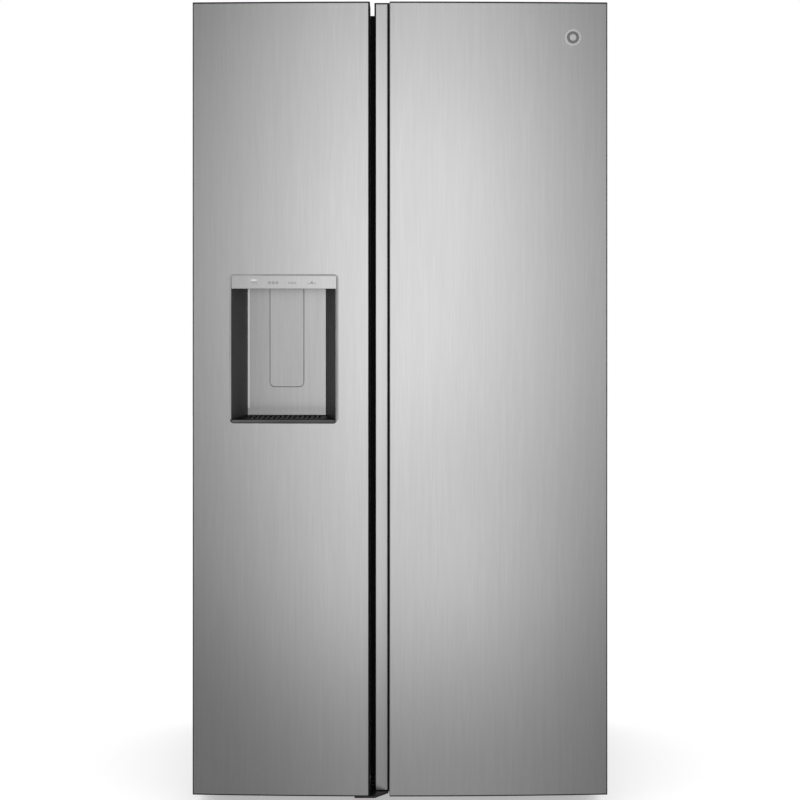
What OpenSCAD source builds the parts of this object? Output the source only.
// Side by side refrigerator with a recessed centre grip and a dispenser in the freezer door.
// Millimetres, +Z up, the doors face -Y, and the origin is on the floor under the middle.

/* [Overall] */
// Width across both doors
door_set_w = 908; // [880:1:940]
// Depth from the crown of the doors to the back
overall_d = 725; // [700:1:800]
// Height of the doors
door_h = 1734; // [1700:1:1790]
// Space under the doors
door_clear = 36; // [34:1:46]
// Rise of the door fronts from the outer edges to the middle
crown = 13; // [6:1:20]

/* [Cabinet] */
// Step in from the door edge to the cabinet side
case_inset = 2; // [1:0.5:4]
// Height of the door tops above the cabinet top
door_rise = 15; // [12:1:20]
// Height of the cabinet floor above the ground
case_lift = 60; // [56:1:64]
// Steel sheet of the cabinet
sheet_t = 1; // [0.6:0.1:1.6]
// Plastic sheet of the liners
liner_t = 2; // [1.5:0.1:3]
// Insulated wall on the freezer side
freezer_wall = 60; // [55:1:66]
// Insulated wall on the fresh food side
fresh_wall = 48; // [44:1:54]
// Insulated top
top_wall = 55; // [45:1:65]
// Insulated floor
floor_wall = 55; // [50:1:60]
// Insulated back
rear_wall = 60; // [50:1:65]
// Divider between the compartments
divider_w = 50; // [46:1:56]
// Height of the machine bay
bay_h = 170; // [160:1:190]
// Depth of the machine bay
bay_d = 200; // [190:1:210]
// Insulation round the machine bay
bay_wall = 45; // [35:1:50]

/* [Doors] */
// Thickness of a door at the crown
door_t = 100; // [96:1:106]
// Steel skin of the doors
skin_t = 0.8; // [0.6:0.1:1.2]
// Radius of the upright door edges
edge_r = 4; // [2:0.5:5]
// Gap between the doors
door_gap = 9; // [8:0.5:11]
// Distance from the middle of the cabinet to the gap
split_offset = 61; // [55:1:70]
// Height of the plastic end caps
cap_h = 34; // [30:1:40]
// Thickness of the gaskets
gasket_t = 14; // [12:0.5:16]
// Width of the gasket section
gasket_w = 14; // [10:0.5:15]
// Step in from the door edge to the gasket
gasket_inset = 4; // [3:0.5:6]
// Width of the recessed grip strip
grip_w = 33; // [28:1:38]
// Distance that the grip strip is set back
grip_depth = 44; // [40:1:48]
// Depth of the finger scoops behind the door edges
scoop_d = 20; // [14:1:24]
// Thickness of the lip in front of a scoop
lip_t = 13; // [11:0.5:16]
// Wall of the scoop trims
trim_t = 1.5; // [1:0.1:2]
// Wing below the freezer door that closes the grip channel
wing_t = 4.5; // [3:0.5:6]
// Radius of the blank badge
badge_r = 19; // [12:1:24]

/* [Hinges] */
// Distance from the door's outer side to the hinge pin
pin_inset = 16; // [15:0.5:18]
// Distance of the hinge pin ahead of the cabinet front
pin_lead = 40; // [38:0.5:42]
// Radius of the hinge pins
pin_r = 5; // [4:0.5:6]
// Length of a pin in its cap
pin_reach = 26; // [20:1:28]
// Hinge plate
plate_t = 4; // [3:0.5:5]
// Width of the hinge arm
arm_w = 26; // [22:1:28]
// Height of the hinge covers
cover_h = 23; // [18:1:28]

/* [Dispenser] */
// Distance from the middle of the cabinet to the dispenser
disp_offset = 254.5; // [246:0.5:259]
// Width of the dispenser frame
disp_w = 235; // [220:1:240]
// Height of the dispenser frame
disp_h = 326; // [300:1:345]
// Height of the dispenser's lower edge
disp_low = 849; // [820:1:880]
// Visible edge of the frame
rim_w = 3; // [2:0.5:6]
// How far the frame stands proud
rim_rise = 1; // [0.5:0.1:1.1]
// Corner radius of the frame
rim_r = 9; // [5:0.5:14]
// Height of the control fascia
fascia_h = 30.5; // [26:0.5:36]
// How far the fascia hangs below the recess ceiling
brow = 6; // [3:0.5:8]
// Depth of the recess
recess_d = 110; // [100:1:114]
// Width of the recess at its back
recess_back_w = 175; // [165:1:190]
// Wall of the dispenser housing
housing_t = 2.5; // [2:0.1:3]
// Width of the paddle
paddle_w = 76; // [60:1:84]
// Length of the paddle
paddle_h = 226; // [192:1:232]
// Paddle pocket behind the recess
pocket_d = 27; // [25:0.5:30]
// Thickness of the drip tray
tray_h = 4; // [3.5:0.5:7]

/* [Inside] */
// Height of the crisper drawers
crisper_h = 146; // [120:1:150]
// Wall of the drawers, bins and bucket
bin_wall = 3; // [2.5:0.1:4]
// Depth of the door bins
bin_d = 95; // [80:1:98]
// Height of the door bins
bin_h = 90; // [70:1:110]
// Depth of the ribs that hold the bins
rib_d = 60; // [45:1:70]
// Width of those ribs
rib_w = 16; // [12:1:18]
// Glass shelf thickness
glass_t = 5; // [4:0.5:6]
// Wire of the freezer shelves
wire_r = 2; // [1.5:0.1:2.3]
// Ledges under the shelves
ledge_w = 7; // [5:0.5:9]

/* [Running gear] */
// Radius of the rear rollers
roller_r = 22; // [19:0.5:24]
// Width of the rear rollers
roller_w = 20; // [16:1:24]
// Radius of the roller pins
axle_r = 4; // [3:0.5:5]
// Radius of the levelling legs' feet
foot_r = 20; // [16:1:24]
// Radius of the levelling legs' studs
stud_r = 5; // [4:0.5:6]

/* [Hidden] */
$fn = 48;

// clearances
run_gap = 0.06;     // shafts and pins in their bores
seat_gap = 0.3;     // parts seated beside one another
slide_gap = 0.5;    // drawers on what they slide on
swing_gap = 1;      // parts that swing past one another
over = 1;           // cuts run this far past a face
bow_steps = 24;
corner_steps = 5;

// reference planes
front_y = -overall_d / 2;
rear_y = overall_d / 2;
door_back_y = front_y + door_t;
case_y = door_back_y + gasket_t;
case_x = door_set_w / 2 - case_inset;
door_z = [door_clear, door_clear + door_h];
body_z = [door_z[0] + cap_h, door_z[1] - cap_h];
case_top = door_z[1] - door_rise;
split_x = -split_offset;
freezer_door_x = [-door_set_w / 2, split_x - door_gap / 2];
fresh_door_x = [split_x + door_gap / 2, door_set_w / 2];
grip_x = fresh_door_x[0] + grip_w;
grip_y = front_y + grip_depth;
scoop_y = [front_y + lip_t, grip_y];
bow_r = (pow(door_set_w / 2, 2) + pow(crown, 2)) / (2 * crown);
strip_tail = 6;
badge_x = door_set_w / 2 - 76;
badge_z = door_z[1] - 79;

// hinges
pin_x = door_set_w / 2 - pin_inset;
pin_y = case_y - pin_lead;
notch_z = case_top - 2;
notch_lead = 37;
boss_r = 12;
boss_h = 18;
hinge_plate_z = door_z[0] - 8;
screw_r = 2;
screw_head_r = 4;
screw_head_h = 2.2;
top_screws = [[pin_x - 20, case_y + 45], [pin_x - 20, case_y + 78], [pin_x + 4, case_y + 78]];
bottom_screws = [[pin_x - 7, hinge_plate_z + 14], [pin_x + 7, hinge_plate_z + 14],
                 [pin_x, hinge_plate_z + 28]];

// compartments
inside_z = [case_lift + floor_wall, case_top - top_wall];
inside_y = [case_y, rear_y - rear_wall];
freezer_x = [-case_x + freezer_wall, split_x - divider_w / 2];
fresh_x = [split_x + divider_w / 2, case_x - fresh_wall];
bay_y = rear_y - bay_d;
bay_z = case_lift + bay_h;
step_y = bay_y - bay_wall;
step_z = bay_z + bay_wall;

// dispenser
disp_x = -disp_offset;
disp_z = [disp_low, disp_low + disp_h];
recess_z = [disp_z[0] + rim_w, disp_z[1] - rim_w - fascia_h + brow];
recess_y = bow_y(disp_x) + recess_d;
fascia_t = 3;
fascia_pocket_d = 16;
neck_in = 1.5;
neck_d = 4;
icon_pitch = 42;
tray_y = [bow_y(disp_x) + 4, recess_y - 3.5];
paddle_t = 3;
paddle_proud = 1;
barrel_r = 4;
trunnion_r = 2.5;
paddle_axis = [recess_y + barrel_r, recess_z[1] - 6];
bulge_wall = 13;
bulge_x = [disp_x - recess_back_w / 2 - housing_t - bulge_wall,
           disp_x + recess_back_w / 2 + housing_t + bulge_wall];
bulge_y = recess_y + pocket_d + housing_t + bulge_wall;
bulge_z = [disp_z[0] - 44, disp_z[1] + 205];
chute_w = 60;
chute_t = 2;
throat_y = [recess_y - 68, recess_y - 14];
throat_h = 36;
mouth_z = [recess_z[1] + 110, recess_z[1] + 196];
flap_t = 2;
flap_pin_r = 2;
flap_axis = [throat_y[1] - 4, recess_z[1] + 8];

// inside the doors
rib_pin_gap = 64;   // from a hinge pin to the outside of the nearest rib
rib_free_gap = 26;  // from the divider to the outside of the other rib
rib_z = [inside_z[0] + 25, inside_z[1] - 15];
freezer_rib_x = [-pin_x + rib_pin_gap, freezer_x[1] - rib_free_gap];
fresh_rib_x = [fresh_x[0] + rib_free_gap, pin_x - rib_pin_gap];
freezer_bin_z = [inside_z[0] + 35, inside_z[0] + 255, inside_z[0] + 475,
                 inside_z[1] - bin_h - 50];
fresh_bin_pitch = (inside_z[1] - inside_z[0] - 85) / 5;
fresh_bin_z = [for (i = [0:4]) inside_z[0] + 45 + fresh_bin_pitch * i];

// shelves and drawers stand behind the door bins
store_y = case_y + bin_d;
shelf_front_y = store_y + 5;
cover_y = inside_y[1] - 70;
duct_t = 15;
basket_z = [inside_z[0] + slide_gap, inside_z[0] + slide_gap + crisper_h];
shelf_0_z = step_z + seat_gap;
upper_z = shelf_0_z + glass_t + slide_gap;
fresh_shelf_z = concat([shelf_0_z, upper_z + crisper_h + 12],
                       [for (i = [0:2]) inside_z[0] + 585 + 280 * i]);
freezer_shelf_z = concat([shelf_0_z + 5], [for (i = [0:2]) inside_z[0] + 385 + 220 * i],
                         [inside_z[1] - 330]);
shelf_rim_r = wire_r + 0.8;
shelf_rise = 2 * shelf_rim_r + 0.4;  // from the foot of a shelf to the top of its wires
bucket_x = [freezer_x[0] + 38, freezer_x[1] - 34];
bucket_y = [case_y + 60, cover_y - 58];
bucket_z = [freezer_shelf_z[4] + shelf_rise, freezer_shelf_z[4] + shelf_rise + 158];
auger_z = bucket_z[0] + 44;
auger_r = 34;
shaft_r = 6;
fan_z = inside_z[0] + 745;
fan_r = 52;

// running gear
rail_w = 28;
rail_t = 2;
rail_z = [24, case_lift];
axle_y = rear_y - 42;
roller_x = case_x - rail_w - 14 - roller_w;
leg_x = case_x - 52;
leg_y = case_y + 38;
foot_h = 8;

// machine bay
compressor_x = -case_x + 236;
cfan_x = case_x - 277;
condenser_x = [cfan_x - 225, cfan_x - 65];
cfan_y = bay_y + 70;
cfan_z = rail_z[0] + 84;
cfan_r = 60;
inlet_x = -case_x + 122;
inlet_z = case_lift + 90;
inlet_hole_r = 16;
inlet_stub_r = 5.5;
gland_x = case_x - 122;
gland_r = 9;
gland_bore_r = 4;

function bow_y(x, inset = 0) = front_y + bow_r - sqrt(pow(bow_r - inset, 2) - x * x);

function arc_points(centre, r, from, to) =
    [for (i = [0:corner_steps])
        let (a = from + (to - from) * i / corner_steps)
        centre + r * [cos(a), sin(a)]];

// plan of a door front: a shallow bow between two rounded upright edges
function door_outline(x0, x1, inset, back) =
    let (
        r = max(edge_r - inset, 0.4),
        left = x0 + inset + r,
        right = x1 - inset - r,
        span = right - left
    )
    concat(
        [[x0 + inset, back]],
        arc_points([left, bow_y(left, inset) + r], r, 180, 270),
        [for (i = [1:bow_steps - 1])
            let (x = left + span * i / bow_steps)
            [x, bow_y(x, inset)]],
        arc_points([right, bow_y(right, inset) + r], r, 270, 360),
        [[x1 - inset, back]]
    );

// plan of the grip strip: one rounded edge beside the gap
function strip_outline(inset, right, back) =
    let (r = max(edge_r - inset, 0.4), left = fresh_door_x[0] + inset + r)
    concat(
        [[fresh_door_x[0] + inset, back]],
        arc_points([left, grip_y + inset + r], r, 180, 270),
        [[right, grip_y + inset], [right, back]]
    );

function rounded_points(w, h, r) =
    concat(
        arc_points([r - w / 2, r - h / 2], r, 180, 270),
        arc_points([w / 2 - r, r - h / 2], r, 270, 360),
        arc_points([w / 2 - r, h / 2 - r], r, 0, 90),
        arc_points([r - w / 2, h / 2 - r], r, 90, 180)
    );

// half width of the dispenser recess at a depth y
// the point that lies reach further in the first axis on the line from a through b
function beyond(a, b, reach) = b + (b - a) * reach / (b[0] - a[0]);

function recess_half(y) =
    let (front = disp_w / 2 - rim_w, back = recess_back_w / 2, mouth = bow_y(disp_x))
    front + (back - front) * (y - mouth) / recess_d;

module block(x, y, z) {
    translate([x[0], y[0], z[0]]) cube([x[1] - x[0], y[1] - y[0], z[1] - z[0]]);
}

module rod_x(x, y, z, r) {
    translate([x[0], y, z]) rotate([0, 90, 0]) cylinder(r = r, h = x[1] - x[0]);
}

module rod_y(x, y, z, r) {
    translate([x, y[1], z]) rotate([90, 0, 0]) cylinder(r = r, h = y[1] - y[0]);
}

module rod_z(x, y, z, r) {
    translate([x, y, z[0]]) cylinder(r = r, h = z[1] - z[0]);
}

// the right-hand piece as drawn, or its mirror image on the left
module on_side(side) {
    if (side > 0) children();
    else mirror([1, 0, 0]) children();
}

module both_sides() {
    for (side = [-1, 1]) on_side(side) children();
}

module slab(x0, x1, inset, back, z) {
    translate([0, 0, z[0]]) linear_extrude(z[1] - z[0])
        polygon(door_outline(x0, x1, inset, back));
}

module strip_slab(inset, right, back, z) {
    translate([0, 0, z[0]]) linear_extrude(z[1] - z[0])
        polygon(strip_outline(inset, right, back));
}

// rounded rectangle standing in the XZ plane
module plate_xz(x, z, w, h, r, y) {
    translate([x, y[1], z]) rotate([90, 0, 0]) linear_extrude(y[1] - y[0])
        polygon(rounded_points(w, h, r));
}

// open-topped box
module tub(x, y, z, wall) {
    difference() {
        block(x, y, z);
        block([x[0] + wall, x[1] - wall], [y[0] + wall, y[1] - wall],
              [z[0] + wall, z[1] + over]);
    }
}

// ---------------------------------------------------------------- cabinet

module compartment(x, grow, y0) {
    block([x[0] - grow, x[1] + grow], [y0, step_y + grow],
          [inside_z[0] - grow, inside_z[1] + grow]);
    block([x[0] - grow, x[1] + grow], [y0, inside_y[1] + grow],
          [step_z - grow, inside_z[1] + grow]);
}

module cabinet_shell() {
    color("dimgray") difference() {
        block([-case_x, case_x], [case_y, rear_y - sheet_t], [case_lift, case_top]);
        block([-case_x + sheet_t, case_x - sheet_t], [case_y + sheet_t, rear_y],
              [case_lift + sheet_t, case_top - sheet_t]);
        block([freezer_x[0], fresh_x[1]], [case_y - over, case_y + sheet_t + over],
              inside_z);
        block([-case_x + rail_w, case_x - rail_w], [bay_y, rear_y],
              [case_lift - over, case_lift + sheet_t + over]);
    }
}

module cabinet_foam() {
    color("khaki") difference() {
        block([-case_x + sheet_t, case_x - sheet_t], [case_y + sheet_t, rear_y - sheet_t],
              [case_lift + sheet_t, case_top - sheet_t]);
        compartment(freezer_x, liner_t, case_y);
        compartment(fresh_x, liner_t, case_y);
        block([-case_x, case_x], [bay_y, rear_y], [case_lift, bay_z]);
    }
}

module liner(x, levels, back) {
    difference() {
        compartment(x, liner_t, case_y + sheet_t);
        compartment(x, 0, case_y);
    }
    // ledges under the shelves; the lowest stops at the step over the machine bay
    for (z = levels, side = [0, 1])
        block(side ? [x[1] - ledge_w, x[1]] : [x[0], x[0] + ledge_w],
              [shelf_front_y, z < step_z + 4 ? step_y : back],
              [z - 6 - seat_gap, z - seat_gap]);
}

module freezer_liner() {
    color("whitesmoke") liner(freezer_x, freezer_shelf_z, cover_y - seat_gap);
}

module fresh_food_liner() {
    color("whitesmoke") liner(fresh_x, fresh_shelf_z, inside_y[1] - duct_t - seat_gap);
}

module centre_rail() {
    color("black") block([freezer_x[1], fresh_x[0]], [case_y, case_y + sheet_t], inside_z);
}

module rear_panel() {
    color("dimgray")
        block([-case_x, case_x], [rear_y - sheet_t, rear_y], [bay_z, case_top]);
}

module machine_cover() {
    slot_n = 9;
    color("dimgray") difference() {
        block([-case_x, case_x], [rear_y - sheet_t, rear_y],
              [rail_z[0] + 4, bay_z - seat_gap]);
        for (side = [-1, 1], i = [0:slot_n - 1])
            translate([side * 190, 0, case_lift + 20 + 13 * i])
                block([-85, 85], [rear_y - sheet_t - over, rear_y + over], [0, 6]);
        rod_y(inlet_x, [rear_y - sheet_t - over, rear_y + over], inlet_z, inlet_hole_r);
        rod_y(gland_x, [rear_y - sheet_t - over, rear_y + over], inlet_z, gland_r);
    }
}

module base_frame() {
    color("darkgray") {
        difference() {
            union() {
                both_sides() {
                    block([case_x - rail_w, case_x - sheet_t],
                          [case_y + sheet_t, rear_y - sheet_t - seat_gap], rail_z);
                    rod_x([roller_x - 4, case_x - rail_w + over], axle_y, roller_r, axle_r);
                    rod_x([roller_x + roller_w + slide_gap, case_x - rail_w + over],
                          axle_y, roller_r, axle_r + 3);
                    rod_x([roller_x - 5, roller_x - slide_gap], axle_y, roller_r,
                          axle_r + 2);
                }
                block([rail_w - case_x - over, case_x - rail_w + over],
                      [leg_y - 18, leg_y + 18], [case_lift - 20, case_lift]);
                block([rail_w - case_x - over, case_x - rail_w + over],
                      [bay_y, axle_y - roller_r - 6], [rail_z[0], rail_z[0] + rail_t]);
                block([12 - roller_x, roller_x - 12],
                      [bay_y, rear_y - sheet_t - seat_gap], [rail_z[0], rail_z[0] + rail_t]);
            }
            both_sides() {
                block([case_x - rail_w + rail_t, case_x - sheet_t - rail_t],
                      [case_y + 6, rear_y], [rail_z[0] - over, case_lift - rail_t]);
                rod_z(leg_x, leg_y, [case_lift - 20 - over, case_lift - 2],
                      stud_r + run_gap);
            }
        }
    }
}

module kick_grille() {
    grille_x = case_x - rail_w - 4;
    grille_z = [10, case_lift - 2];
    color("black") {
        difference() {
            block([-grille_x, grille_x], [case_y + 4, case_y + 7], grille_z);
            for (i = [0:3], k = [-4:4])
                translate([88 * k, 0, grille_z[0] + 8 + 9 * i])
                    block([-38, 38], [case_y, case_y + 10], [0, 5]);
        }
        for (x = [-300, 300])
            block([x - 8, x + 8], [case_y + 7, leg_y - 18], [case_lift - 8, case_lift - 5]);
    }
}

module compressor() {
    shell_r = 72;
    at = [compressor_x, (bay_y + rear_y) / 2 + 4];
    low = rail_z[0] + rail_t;
    color("black") translate([at[0], at[1], low]) {
        difference() {
            union() {
                for (x = [-1, 1], y = [-1, 1])
                    translate([78 * x, 58 * y, 0]) cylinder(r = 10, h = 12);
                translate([-90, -70, 12]) cube([180, 140, 3]);
            }
            for (x = [-1, 1], y = [-1, 1])
                translate([78 * x, 58 * y, -over]) cylinder(r = 3.2, h = 20);
        }
        translate([0, 0, 15]) rotate_extrude()
            polygon(concat(
                [[0, 0], [shell_r - 8, 0]],
                arc_points([shell_r - 8, 8], 8, 270, 360),
                arc_points([shell_r - 34, 96], 34, 0, 90),
                [[0, 130]]
            ));
        translate([shell_r - 6, -18, 50]) cube([26, 36, 44]);
    }
}

// finned block with rows of tube along X, joined in turn at their ends
module coil(x, y, z, fins, rows, tube_r) {
    pitch_x = (x[1] - x[0]) / (fins - 1);
    pitch_z = (z[1] - z[0]) / rows;
    mid_y = (y[0] + y[1]) / 2;
    for (i = [0:fins - 1])
        block([x[0] + pitch_x * i - 0.75, x[0] + pitch_x * i + 0.75], y, z);
    for (k = [0:rows - 1])
        rod_x([x[0] - 12, x[1] + 12], mid_y, z[0] + pitch_z * (k + 0.5), tube_r);
    for (k = [0:rows - 2])
        rod_z(k % 2 ? x[0] - 7 : x[1] + 7, mid_y,
              [z[0] + pitch_z * (k + 0.5), z[0] + pitch_z * (k + 1.5)], tube_r * 0.8);
}

module condenser() {
    low = rail_z[0] + rail_t;
    color("black") {
        coil(condenser_x, [bay_y + 40, rear_y - 30], [low + 3, low + 150], 12, 6, 4);
        // fan bracket: a foot, a post and the pin that the fan turns on
        block([cfan_x - 7, cfan_x + 7], [cfan_y + 26, cfan_y + 32], [low, cfan_z + 10]);
        block([cfan_x - 25, cfan_x + 25], [cfan_y + 10, cfan_y + 44], [low, low + 2]);
        block([condenser_x[1], cfan_x + 25], [cfan_y + 10, cfan_y + 14], [low, low + 2]);
        block([condenser_x[1] - 1, cfan_x - 23], [cfan_y + 10, cfan_y + 44], [low, low + 4]);
        rod_y(cfan_x, [cfan_y, cfan_y + 27], cfan_z, 3);
    }
}

// axial fan on the Y axis, with its hub at the origin
module fan(r, hub_r, depth, blades, bore) {
    rotate([90, 0, 0]) difference() {
        union() {
            cylinder(r = hub_r, h = depth);
            for (i = [0:blades - 1])
                rotate([0, 0, 360 * i / blades])
                    translate([hub_r - 2, 0, depth / 2])
                        rotate([32, 0, 0])
                            translate([0, -r * 0.28, -0.8])
                                cube([r - hub_r, r * 0.56, 1.6]);
        }
        translate([0, 0, -over]) cylinder(r = bore, h = depth + 2 * over);
    }
}

module condenser_fan() {
    color("black") translate([cfan_x, cfan_y + 20, cfan_z]) fan(cfan_r, 15, 18, 5, 3 + run_gap);
}

// ---------------------------------------------------------------- hinges and screws

module top_hinge() {
    z = [case_top, case_top + plate_t];
    difference() {
        union() {
            rod_z(pin_x, pin_y, z, arm_w / 2 + 1);
            block([pin_x - arm_w / 2, pin_x + arm_w / 2], [pin_y, case_y + 60], z);
            block([pin_x - 30, pin_x + arm_w / 2 - 4], [case_y + 30, case_y + 92], z);
            rod_z(pin_x, pin_y, [notch_z - pin_reach, case_top + over], pin_r);
        }
        for (at = top_screws) rod_z(at[0], at[1], [z[0] - over, z[1] + over], screw_r + 0.1);
    }
}

module top_hinges() {
    color("gray") both_sides() top_hinge();
}

module bottom_hinge() {
    z = [hinge_plate_z, hinge_plate_z + plate_t];
    difference() {
        union() {
            rod_z(pin_x, pin_y, z, arm_w / 2 + 1);
            block([pin_x - arm_w / 2, pin_x + arm_w / 2], [pin_y, case_y], z);
            block([pin_x - arm_w / 2, pin_x + arm_w / 2], [case_y - plate_t, case_y],
                  [z[0], case_lift + 5]);
            rod_z(pin_x, pin_y, [z[1] - over, door_z[0] - 0.2], 9);
            rod_z(pin_x, pin_y, [z[1] - over, door_z[0] + pin_reach], pin_r);
        }
        for (at = bottom_screws)
            rod_y(at[0], [case_y - plate_t - over, case_y + over], at[1], screw_r + 0.1);
    }
}

module bottom_hinges() {
    color("gray") both_sides() bottom_hinge();
}

module hinge_covers() {
    x = [pin_x - 38, case_x - 2];
    y = [case_y + 1.5, case_y + 112];
    color("dimgray") both_sides() difference() {
        block(x, y, [case_top, case_top + cover_h]);
        block([x[0] + 2, x[1] - 2], [y[0] + 2, y[1] - 2],
              [case_top - over, case_top + cover_h - 2]);
        block([pin_x - arm_w / 2 - 1, pin_x + arm_w / 2 + 1], [case_y, case_y + 61],
              [case_top - over, case_top + plate_t + 1]);
    }
}

module hinge_screws() {
    top = case_top + plate_t;
    face = case_y - plate_t;
    color("silver") both_sides() {
        for (at = top_screws) {
            rod_z(at[0], at[1], [case_top, top + 0.5], screw_r);
            rod_z(at[0], at[1], [top, top + screw_head_h], screw_head_r);
        }
        for (at = bottom_screws) {
            rod_y(at[0], [face - 0.5, case_y], at[1], screw_r);
            rod_y(at[0], [face - screw_head_h, face], at[1], screw_head_r);
        }
    }
}

// ---------------------------------------------------------------- freezer compartment

module evaporator() {
    color("silver") coil([freezer_x[0] + 30, freezer_x[1] - 30],
                         [cover_y + 12, inside_y[1] - 6], [step_z + 30, step_z + 330], 13, 6, 4);
}

module evaporator_cover() {
    mid = (freezer_x[0] + freezer_x[1]) / 2;
    color("whitesmoke") difference() {
        union() {
            block([freezer_x[0] + seat_gap, freezer_x[1] - seat_gap], [cover_y, cover_y + 3],
                  [step_z + seat_gap, fan_z + 220]);
            // fan bracket behind the grille
            block([mid - fan_r - 6, mid + fan_r + 6], [cover_y + 2, cover_y + 8],
                  [fan_z - 6, fan_z + 6]);
            rod_y(mid, [cover_y + 4, cover_y + 34], fan_z, 3);
        }
        for (i = [-4:4])
            if (i != 0) block([mid - 44, mid + 44], [cover_y - over, cover_y + 3 + over],
                              [fan_z + 11 * i - 3, fan_z + 11 * i + 3]);
        for (i = [0:5])
            block([mid - 110, mid + 110], [cover_y - over, cover_y + 3 + over],
                  [step_z + 24 + 12 * i, step_z + 30 + 12 * i]);
    }
}

module evaporator_fan() {
    mid = (freezer_x[0] + freezer_x[1]) / 2;
    color("white") translate([mid, cover_y + 32, fan_z]) fan(fan_r, 13, 16, 5, 3 + run_gap);
}

module wire_shelf(z, back) {
    x = [freezer_x[0] + 2, freezer_x[1] - 2];
    y = [shelf_front_y + 3, back - 4];
    n = 13;
    pitch = (x[1] - x[0]) / (n + 1);
    for (end = y) rod_x(x, end, z + shelf_rim_r, shelf_rim_r);
    for (i = [0:n + 1])
        rod_y(min(max(x[0] + pitch * i, x[0] + 3), x[1] - 3), y,
              z + shelf_rise - wire_r, wire_r);
}

module freezer_shelves() {
    color("white") for (z = freezer_shelf_z) wire_shelf(z, cover_y - seat_gap);
}

module freezer_basket() {
    x = [freezer_x[0] + 8, freezer_x[1] - 8];
    windows = 9;
    pitch = (x[1] - x[0] - 20) / windows;
    color("white") difference() {
        tub(x, [store_y, step_y - 6], basket_z, bin_wall);
        for (i = [0:windows - 1])
            translate([x[0] + 10 + pitch * (i + 0.5), 0, basket_z[0] + 30])
                block([-9, 9], [store_y - over, step_y], [0, 70]);
    }
}

module ice_maker() {
    x = [freezer_x[0] + 60, freezer_x[1] - 60];
    y = [case_y + 130, cover_y - 30];
    z = [bucket_z[1] + 40, inside_z[1] - 12];
    mid = (x[0] + x[1]) / 2;
    color("lightgray") difference() {
        union() {
            block([x[0] + 30, x[1] - 30], [y[0] + 50, y[1]], [z[0], z[1] - 20]);
            block(x, [y[0], y[0] + 56], [z[0] - 10, z[1]]);
            block([x[0] + 40, x[1] - 40], [y[0] + 50, y[1]], [z[1] - 22, inside_z[1]]);
        }
        for (i = [0:5])
            rod_x([mid - 38, mid + 38], y[0] + 80 + 32 * i, z[1] - 26, 13);
    }
}

module ice_bucket() {
    mid = (bucket_x[0] + bucket_x[1]) / 2;
    color("aliceblue") difference() {
        tub(bucket_x, bucket_y, bucket_z, bin_wall);
        rod_y(mid, [bucket_y[0] - over, bucket_y[1] + over], auger_z, shaft_r + run_gap);
        block([mid - chute_w / 2 - 2, mid + chute_w / 2 + 2], [bucket_y[0] + 12, bucket_y[0] + 62],
              [bucket_z[0] - over, bucket_z[0] + bin_wall + over]);
    }
}

module auger() {
    mid = (bucket_x[0] + bucket_x[1]) / 2;
    y = [bucket_y[0] + bin_wall + 4, bucket_y[1] - bin_wall - 4];
    n = 6;
    pitch = (y[1] - y[0] - 60) / (n - 1);
    color("white") {
        rod_y(mid, [bucket_y[0] + 0.5, bucket_y[1] + 12], auger_z, shaft_r);
        for (i = [0:n - 1])
            translate([mid, y[0] + 30 + pitch * i, auger_z])
                rotate([90 + 22, 0, 0])
                    translate([0, 0, -1.5]) cylinder(r = auger_r, h = 3);
    }
}

// ---------------------------------------------------------------- fresh food compartment

module fresh_food_shelves() {
    color("lightblue") for (z = fresh_shelf_z)
        block([fresh_x[0] + seat_gap, fresh_x[1] - seat_gap],
              [shelf_front_y, inside_y[1] - duct_t - seat_gap], [z, z + glass_t]);
}

module crisper(back, z) {
    x = [fresh_x[0] + 12, fresh_x[1] - 14];
    tub(x, [store_y, back], z, bin_wall);
    // pull lip
    block([x[0] + 60, x[1] - 60], [store_y - 12, store_y + over], [z[1] - 14, z[1] - 10]);
}

module crisper_lower() {
    color("lightcyan") crisper(step_y - 6, basket_z);
}

module crisper_upper() {
    color("lightcyan") crisper(inside_y[1] - 40, [upper_z, upper_z + crisper_h]);
}

module air_duct() {
    mid = (fresh_x[0] + fresh_x[1]) / 2;
    color("whitesmoke") difference() {
        block([mid - 110, mid + 110], [inside_y[1] - duct_t, inside_y[1]],
              [fresh_shelf_z[1] + glass_t + 20, inside_z[1] - 40]);
        for (level = [0:3], i = [0:3])
            translate([0, 0, inside_z[0] + 525 + 280 * level + 9 * i])
                block([mid - 70, mid + 70],
                      [inside_y[1] - duct_t - over, inside_y[1] - duct_t + 8], [0, 4]);
    }
}

module control_box() {
    mid = (fresh_x[0] + fresh_x[1]) / 2;
    y = [store_y - 40, store_y + 120];
    color("white") difference() {
        block([mid - 130, mid + 130], y, [inside_z[1] - 38, inside_z[1]]);
        block([mid - 110, mid + 110], [y[0] + 70, y[1] - 12],
              [inside_z[1] - 38 - over, inside_z[1] - 30]);
    }
}

// ---------------------------------------------------------------- back and underside

module water_inlet() {
    color("white") {
        block([inlet_x - 14, inlet_x + 14], [rear_y - 60, rear_y - 20],
              [inlet_z - 22, inlet_z + 22]);
        rod_y(inlet_x, [rear_y - 21, rear_y], inlet_z, inlet_stub_r);
        block([inlet_x - 20, inlet_x + 20], [rear_y - 60, rear_y - 57],
              [rail_z[0] + rail_t, inlet_z - 20]);
    }
}

module cord_gland() {
    color("black") difference() {
        union() {
            rod_y(gland_x, [rear_y - 8, rear_y], inlet_z, gland_r - 0.2);
            rod_y(gland_x, [rear_y - 8, rear_y - sheet_t], inlet_z, gland_r + 3);
        }
        rod_y(gland_x, [rear_y - 8 - over, rear_y + over], inlet_z, gland_bore_r);
    }
}

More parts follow.
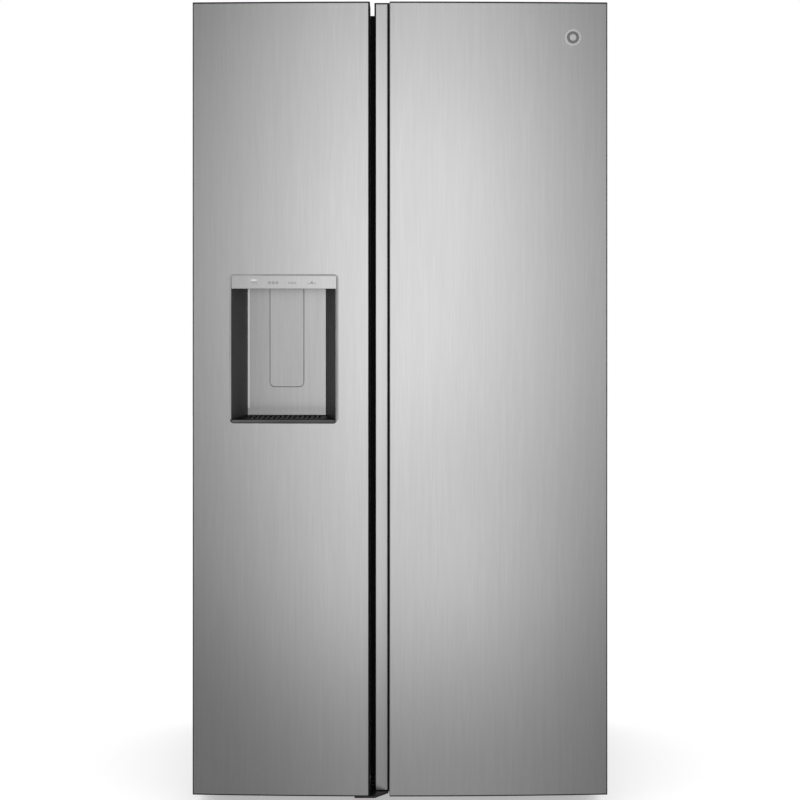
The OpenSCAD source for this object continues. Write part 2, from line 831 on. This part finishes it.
module levelling_leg() {
    color("gray") {
        rod_z(leg_x, leg_y, [0, foot_h], foot_r);
        rod_z(leg_x, leg_y, [foot_h - over, case_lift - 20 - seat_gap], 8);
        rod_z(leg_x, leg_y, [foot_h, case_lift - 4], stud_r);
    }
}

module levelling_leg_left() {
    on_side(-1) levelling_leg();
}

module levelling_leg_right() {
    on_side(1) levelling_leg();
}

module rear_roller() {
    color("dimgray") difference() {
        rod_x([roller_x, roller_x + roller_w], axle_y, roller_r, roller_r);
        rod_x([roller_x - over, roller_x + roller_w + over], axle_y, roller_r,
              axle_r + run_gap);
    }
}

module rear_roller_left() {
    on_side(-1) rear_roller();
}

module rear_roller_right() {
    on_side(1) rear_roller();
}

// ---------------------------------------------------------------- both doors

// room in a door's top corner for the hinge plate
module hinge_notch() {
    block([pin_x - arm_w / 2 - 5, door_set_w / 2 + over],
          [pin_y - notch_lead, door_back_y + over], [notch_z, door_z[1] + over]);
}

module pin_bores() {
    rod_z(pin_x, pin_y, [notch_z - pin_reach - 2, notch_z + over], pin_r + run_gap);
    rod_z(pin_x, pin_y, [door_z[0] - over, door_z[0] + pin_reach + 2], pin_r + run_gap);
}

module pin_boss() {
    rod_z(pin_x, pin_y, [body_z[1] - boss_h, body_z[1] + over], boss_r);
}

module gasket(x) {
    z = [case_lift + 8, case_top - 10];
    y = [door_back_y, case_y - 0.2];
    difference() {
        block(x, y, z);
        block([x[0] + gasket_w, x[1] - gasket_w], [y[0] - over, y[1] + over],
              [z[0] + gasket_w, z[1] - gasket_w]);
        // hollow bellows on the door side
        difference() {
            block([x[0] + 3, x[1] - 3], [y[0] + 5, y[1] - 5], [z[0] + 3, z[1] - 3]);
            block([x[0] + gasket_w - 3, x[1] - gasket_w + 3], y,
                  [z[0] + gasket_w - 3, z[1] - gasket_w + 3]);
        }
    }
}

module door_ribs(x) {
    for (side = [[x[0], x[0] + rib_w], [x[1] - rib_w, x[1]]])
        block(side, [door_back_y - over, door_back_y + rib_d], rib_z);
}

module door_bins(x, levels) {
    inner = [x[0] + rib_w + seat_gap, x[1] - rib_w - seat_gap];
    for (z = levels)
        tub(inner, [door_back_y + seat_gap, door_back_y + bin_d], [z, z + bin_h], bin_wall);
}

// ---------------------------------------------------------------- freezer door

module freezer_slab(inset, back, z) {
    slab(freezer_door_x[0], freezer_door_x[1], inset, back, z);
}

module freezer_door_skin() {
    color("silver") difference() {
        freezer_slab(0, door_back_y, door_z);
        freezer_slab(skin_t, door_back_y + over, [door_z[0] - over, door_z[1] + over]);
        plate_xz(disp_x, (disp_z[0] + disp_z[1]) / 2, disp_w - 2 * neck_in + 2 * seat_gap,
                 disp_h - 2 * neck_in + 2 * seat_gap, rim_r - neck_in + seat_gap,
                 [front_y - over, front_y + crown + 3]);
        block([freezer_door_x[1] - skin_t - over, freezer_door_x[1] + over], scoop_y, body_z);
        on_side(-1) hinge_notch();
    }
}

module freezer_door_foam() {
    color("khaki") difference() {
        union() {
            freezer_slab(skin_t, door_back_y - liner_t, body_z);
            block([bulge_x[0] + liner_t, bulge_x[1] - liner_t],
                  [door_back_y - liner_t - over, bulge_y - liner_t],
                  [bulge_z[0] + liner_t, bulge_z[1] - liner_t]);
        }
        housing_outer(0);
        chute_prism(chute_t, 0, over);
        block([freezer_door_x[1] - scoop_d, freezer_door_x[1] + over], scoop_y,
              [body_z[0] - over, body_z[1] + over]);
        on_side(-1) pin_boss();
    }
}

module freezer_door_liner() {
    color("whitesmoke") difference() {
        union() {
            block([freezer_door_x[0] + skin_t, freezer_door_x[1] - skin_t],
                  [door_back_y - liner_t, door_back_y], body_z);
            block(bulge_x, [door_back_y - liner_t, bulge_y], bulge_z);
            door_ribs(freezer_rib_x);
        }
        block([bulge_x[0] + liner_t, bulge_x[1] - liner_t],
              [door_back_y - liner_t - over, bulge_y - liner_t],
              [bulge_z[0] + liner_t, bulge_z[1] - liner_t]);
        chute_prism(chute_t, 0, over);
    }
}

module freezer_door_caps() {
    wing_z = [door_z[0] - 1.2 - wing_t, door_z[0] - 1.2];
    color("dimgray") difference() {
        union() {
            freezer_slab(skin_t, door_back_y, [door_z[0], body_z[0]]);
            freezer_slab(skin_t, door_back_y, [body_z[1], door_z[1]]);
            on_side(-1) pin_boss();
            // wing that closes the foot of the grip channel
            translate([0, 0, wing_z[0]]) linear_extrude(wing_t) polygon([
                [freezer_door_x[1] - 34, front_y + 8],
                [fresh_door_x[0] + 2, front_y + 8],
                [grip_x - 2, grip_y - 2],
                [grip_x - 2, grip_y + 30],
                [freezer_door_x[1] - 34, grip_y + 30]
            ]);
            block([freezer_door_x[1] - 32, freezer_door_x[1] - 2], [front_y + 10, grip_y + 28],
                  [wing_z[1] - over, door_z[0] + over]);
        }
        on_side(-1) hinge_notch();
        on_side(-1) pin_bores();
    }
}

module freezer_door_gasket() {
    color("gray") gasket([-pin_x + gasket_inset, freezer_door_x[1] - gasket_inset]);
}

module freezer_door_bins() {
    color("aliceblue") door_bins(freezer_rib_x, freezer_bin_z);
}

// dark channel in a finger scoop, open on the side that the fingers come from
module scoop_trim(x, open) {
    difference() {
        block(x, scoop_y, body_z);
        block(open > 0 ? [x[0] + trim_t, x[1] + over] : [x[0] - over, x[1] - trim_t],
              [scoop_y[0] + trim_t, scoop_y[1] - trim_t], [body_z[0] - over, body_z[1] + over]);
    }
}

module pocket_trim() {
    color("black") scoop_trim([freezer_door_x[1] - scoop_d, freezer_door_x[1]], 1);
}

// ---------------------------------------------------------------- dispenser

module recess_prism(grow, y, z) {
    translate([disp_x, 0, z[0]]) linear_extrude(z[1] - z[0]) polygon([
        [-recess_half(y[0]) - grow, y[0]], [recess_half(y[0]) + grow, y[0]],
        [recess_half(y[1]) + grow, y[1]], [-recess_half(y[1]) - grow, y[1]]
    ]);
}

module paddle_pocket(grow) {
    block([disp_x - paddle_w / 2 - swing_gap - grow, disp_x + paddle_w / 2 + swing_gap + grow],
          [recess_y - over, recess_y + pocket_d + grow],
          [recess_z[1] - paddle_h - 8 - grow, recess_z[1] + grow]);
}

// outside of the housing: its walls from the given depth behind the face, and its neck
module housing_outer(wall_inset) {
    intersection() {
        union() {
            recess_prism(housing_t, [front_y, recess_y + housing_t],
                         [recess_z[0] - housing_t, recess_z[1] + housing_t]);
            recess_prism(housing_t, [front_y, bow_y(disp_x) + fascia_pocket_d + housing_t],
                         [recess_z[1], disp_z[1] - rim_w + housing_t]);
        }
        freezer_slab(wall_inset, bulge_y, door_z);
    }
    intersection() {
        plate_xz(disp_x, (disp_z[0] + disp_z[1]) / 2, disp_w - 2 * neck_in,
                 disp_h - 2 * neck_in, rim_r - neck_in, [front_y, front_y + crown + 6]);
        difference() {
            freezer_slab(-rim_rise / 2, door_back_y, door_z);
            freezer_slab(neck_d, door_back_y + over, [door_z[0] - over, door_z[1] + over]);
        }
    }
    paddle_pocket(housing_t);
}

module dispenser_housing() {
    color("#2b2b2b") difference() {
        union() {
            housing_outer(skin_t);
            // frame that stands proud of the door skin
            intersection() {
                plate_xz(disp_x, (disp_z[0] + disp_z[1]) / 2, disp_w, disp_h, rim_r,
                         [front_y - 5, front_y + crown + 6]);
                difference() {
                    freezer_slab(-rim_rise, door_back_y, door_z);
                    freezer_slab(0, door_back_y + over, [door_z[0] - over, door_z[1] + over]);
                }
            }
        }
        recess_prism(0, [front_y - 8, recess_y], recess_z);
        recess_prism(0, [front_y - 8, bow_y(disp_x) + fascia_pocket_d],
                     [recess_z[1] + housing_t, disp_z[1] - rim_w]);
        // seat of the fascia
        difference() {
            recess_prism(0, [front_y - 8, front_y + crown + 8],
                         [recess_z[1] - over, disp_z[1] - rim_w]);
            freezer_slab(fascia_t + seat_gap, door_back_y, door_z);
        }
        paddle_pocket(0);
        rod_x([disp_x - paddle_w / 2 - swing_gap - housing_t - over,
               disp_x + paddle_w / 2 + swing_gap + housing_t + over],
              paddle_axis[0], paddle_axis[1], trunnion_r + run_gap);
        block([disp_x - chute_w / 2 - chute_t, disp_x + chute_w / 2 + chute_t],
              [throat_y[0] - chute_t, throat_y[1] + chute_t],
              [recess_z[1] - over, recess_z[1] + housing_t + over]);
    }
}

module dispenser_backplate() {
    z = [recess_z[0] + tray_h + 2.5, recess_z[1] - 0.5];
    color("silver") difference() {
        recess_prism(-0.4, [recess_y - 2, recess_y], z);
        block([disp_x - paddle_w / 2 - swing_gap, disp_x + paddle_w / 2 + swing_gap],
              [recess_y - 5, recess_y + over],
              [recess_z[1] - paddle_h - 1 - swing_gap, recess_z[1] + over]);
    }
}

module dispenser_fascia() {
    z = [recess_z[1] - brow + 0.3, disp_z[1] - rim_w - 0.3];
    color("silver") intersection() {
        recess_prism(-0.3, [front_y - 5, front_y + crown + 8], z);
        difference() {
            freezer_slab(-0.4, door_back_y, door_z);
            freezer_slab(fascia_t, door_back_y + over, [door_z[0] - over, door_z[1] + over]);
        }
        block([disp_x - disp_w, disp_x + disp_w], [front_y - 5, front_y + crown + 8], z);
    }
}

module dispenser_icons() {
    color("white") intersection() {
        for (i = [0:3])
            plate_xz(disp_x + icon_pitch * (i - 1.5) - 1, recess_z[1] - brow + fascia_h * 0.45,
                     15, 8, 1.5, [front_y - 5, front_y + crown + 8]);
        difference() {
            freezer_slab(-0.7, door_back_y, door_z);
            freezer_slab(-0.4, door_back_y + over, [door_z[0] - over, door_z[1] + over]);
        }
    }
}

module dispenser_paddle() {
    low = recess_z[1] - paddle_h;
    face = recess_y - 2 - paddle_proud;
    color("silver") {
        plate_xz(disp_x, (low + paddle_axis[1]) / 2, paddle_w, paddle_axis[1] - low,
                 4.5, [face, face + paddle_t + 2]);
        rod_x([disp_x - paddle_w / 2, disp_x + paddle_w / 2], paddle_axis[0], paddle_axis[1],
              barrel_r);
        rod_x([disp_x - paddle_w / 2 - swing_gap - housing_t, disp_x + paddle_w / 2
               + swing_gap + housing_t], paddle_axis[0], paddle_axis[1], trunnion_r);
    }
}

// side view of the chute: an upright throat over the recess, then a slope to the freezer
module chute_prism(grow, down, reach) {
    bend = [throat_y[1] + grow, recess_z[1] + throat_h - grow];
    top = [throat_y[0] - grow, recess_z[1] + throat_h + 24 + grow];
    mouth_low = [bulge_y, mouth_z[0] - 1.5 * grow];
    mouth_high = [bulge_y, mouth_z[1] + 1.5 * grow];
    translate([disp_x - chute_w / 2 - grow, 0, 0]) rotate([90, 0, 90])
        linear_extrude(chute_w + 2 * grow) polygon([
            [top[0], recess_z[1] - down],
            [bend[0], recess_z[1] - down],
            bend,
            beyond(bend, mouth_low, reach),
            beyond(top, mouth_high, reach),
            top
        ]);
}

module ice_chute() {
    color("whitesmoke") difference() {
        chute_prism(chute_t, 0, 0);
        chute_prism(0, over, over);
        rod_x([disp_x - chute_w / 2 - chute_t - over, disp_x + chute_w / 2 + chute_t + over],
              flap_axis[0], flap_axis[1], flap_pin_r + run_gap);
    }
}

module chute_flap() {
    y = [throat_y[0] + swing_gap, flap_axis[0]];
    color("gray") {
        block([disp_x - chute_w / 2 + swing_gap, disp_x + chute_w / 2 - swing_gap], y,
              [flap_axis[1] - flap_t / 2, flap_axis[1] + flap_t / 2]);
        rod_x([disp_x - chute_w / 2 + swing_gap, disp_x + chute_w / 2 - swing_gap],
              flap_axis[0], flap_axis[1], flap_pin_r + 1);
        rod_x([disp_x - chute_w / 2 - chute_t, disp_x + chute_w / 2 + chute_t],
              flap_axis[0], flap_axis[1], flap_pin_r);
    }
}

module drip_tray() {
    z = [recess_z[0] + 0.2, recess_z[0] + 0.2 + tray_h];
    color("#303030") difference() {
        recess_prism(-1, tray_y, z);
        recess_prism(-3, [tray_y[0] + 3, tray_y[1] - 3], [z[0] + 1.5, z[1] + over]);
    }
}

module drip_grille() {
    z = [recess_z[0] + 0.4 + tray_h, recess_z[0] + 2 + tray_h];
    slots = 15;
    pitch = 2 * recess_half(recess_y) / (slots + 1);
    color("#404040") difference() {
        recess_prism(-1, tray_y, z);
        for (i = [1:slots])
            translate([disp_x - recess_half(recess_y) + pitch * i, 0, 0])
                block([-2.5, 2.5], [tray_y[0] + 10, tray_y[1] - 10], [z[0] - over, z[1] + over]);
    }
}

// ---------------------------------------------------------------- fresh food door

module fresh_slab(inset, back, z) {
    slab(grip_x, fresh_door_x[1], inset, back, z);
}

module fresh_food_door_skin() {
    color("silver") difference() {
        fresh_slab(0, door_back_y, door_z);
        fresh_slab(skin_t, door_back_y + over, [door_z[0] - over, door_z[1] + over]);
        block([grip_x - over, grip_x + skin_t + over], [scoop_y[0], door_back_y + over],
              [door_z[0] - over, door_z[1] + over]);
        hinge_notch();
    }
}

module grip_strip() {
    color("silver") difference() {
        strip_slab(0, grip_x + strip_tail, door_back_y, door_z);
        strip_slab(skin_t, grip_x + strip_tail + over, door_back_y + over,
                   [door_z[0] - over, door_z[1] + over]);
    }
}

module handle_channel() {
    color("black") scoop_trim([grip_x, grip_x + scoop_d], -1);
}

module fresh_plan(back, z) {
    fresh_slab(skin_t, back, z);
    strip_slab(skin_t, grip_x + strip_tail, back, z);
}

module fresh_food_door_foam() {
    color("khaki") difference() {
        fresh_plan(door_back_y - liner_t, body_z);
        block([grip_x - over, grip_x + scoop_d], scoop_y, [body_z[0] - over, body_z[1] + over]);
        block([grip_x - over, grip_x + strip_tail], [grip_y - over, grip_y + skin_t],
              [body_z[0] - over, body_z[1] + over]);
        pin_boss();
    }
}

module fresh_food_door_liner() {
    color("whitesmoke") {
        block([fresh_door_x[0] + skin_t, fresh_door_x[1] - skin_t],
              [door_back_y - liner_t, door_back_y], body_z);
        door_ribs(fresh_rib_x);
    }
}

module fresh_food_door_caps() {
    color("dimgray") difference() {
        union() {
            for (z = [[door_z[0], body_z[0]], [body_z[1], door_z[1]]])
                difference() {
                    fresh_plan(door_back_y, z);
                    block([grip_x - over, grip_x + strip_tail], [grip_y - 2, grip_y + skin_t],
                          [z[0] - over, z[1] + over]);
                }
            pin_boss();
        }
        hinge_notch();
        pin_bores();
    }
}

module fresh_food_door_gasket() {
    color("gray") gasket([fresh_door_x[0] + gasket_inset, pin_x - gasket_inset]);
}

module fresh_food_door_bins() {
    color("aliceblue") door_bins(fresh_rib_x, fresh_bin_z);
}

module badge_blank() {
    face = bow_y(badge_x);
    color("gainsboro") difference() {
        rod_y(badge_x, [face - 2, face + 2], badge_z, badge_r);
        fresh_slab(0, door_back_y, door_z);
    }
}

cabinet_shell();
cabinet_foam();
freezer_liner();
fresh_food_liner();
centre_rail();
rear_panel();
machine_cover();
base_frame();
kick_grille();
compressor();
condenser();
condenser_fan();
top_hinges();
bottom_hinges();
hinge_covers();
hinge_screws();
evaporator();
evaporator_cover();
evaporator_fan();
freezer_shelves();
freezer_basket();
ice_maker();
ice_bucket();
auger();
fresh_food_shelves();
crisper_upper();
crisper_lower();
air_duct();
control_box();
water_inlet();
cord_gland();
levelling_leg_left();
levelling_leg_right();
rear_roller_left();
rear_roller_right();
freezer_door_skin();
freezer_door_foam();
freezer_door_liner();
freezer_door_caps();
freezer_door_gasket();
freezer_door_bins();
pocket_trim();
dispenser_housing();
dispenser_backplate();
dispenser_fascia();
dispenser_icons();
dispenser_paddle();
ice_chute();
chute_flap();
drip_tray();
drip_grille();
fresh_food_door_skin();
grip_strip();
handle_channel();
fresh_food_door_foam();
fresh_food_door_liner();
fresh_food_door_caps();
fresh_food_door_gasket();
fresh_food_door_bins();
badge_blank();
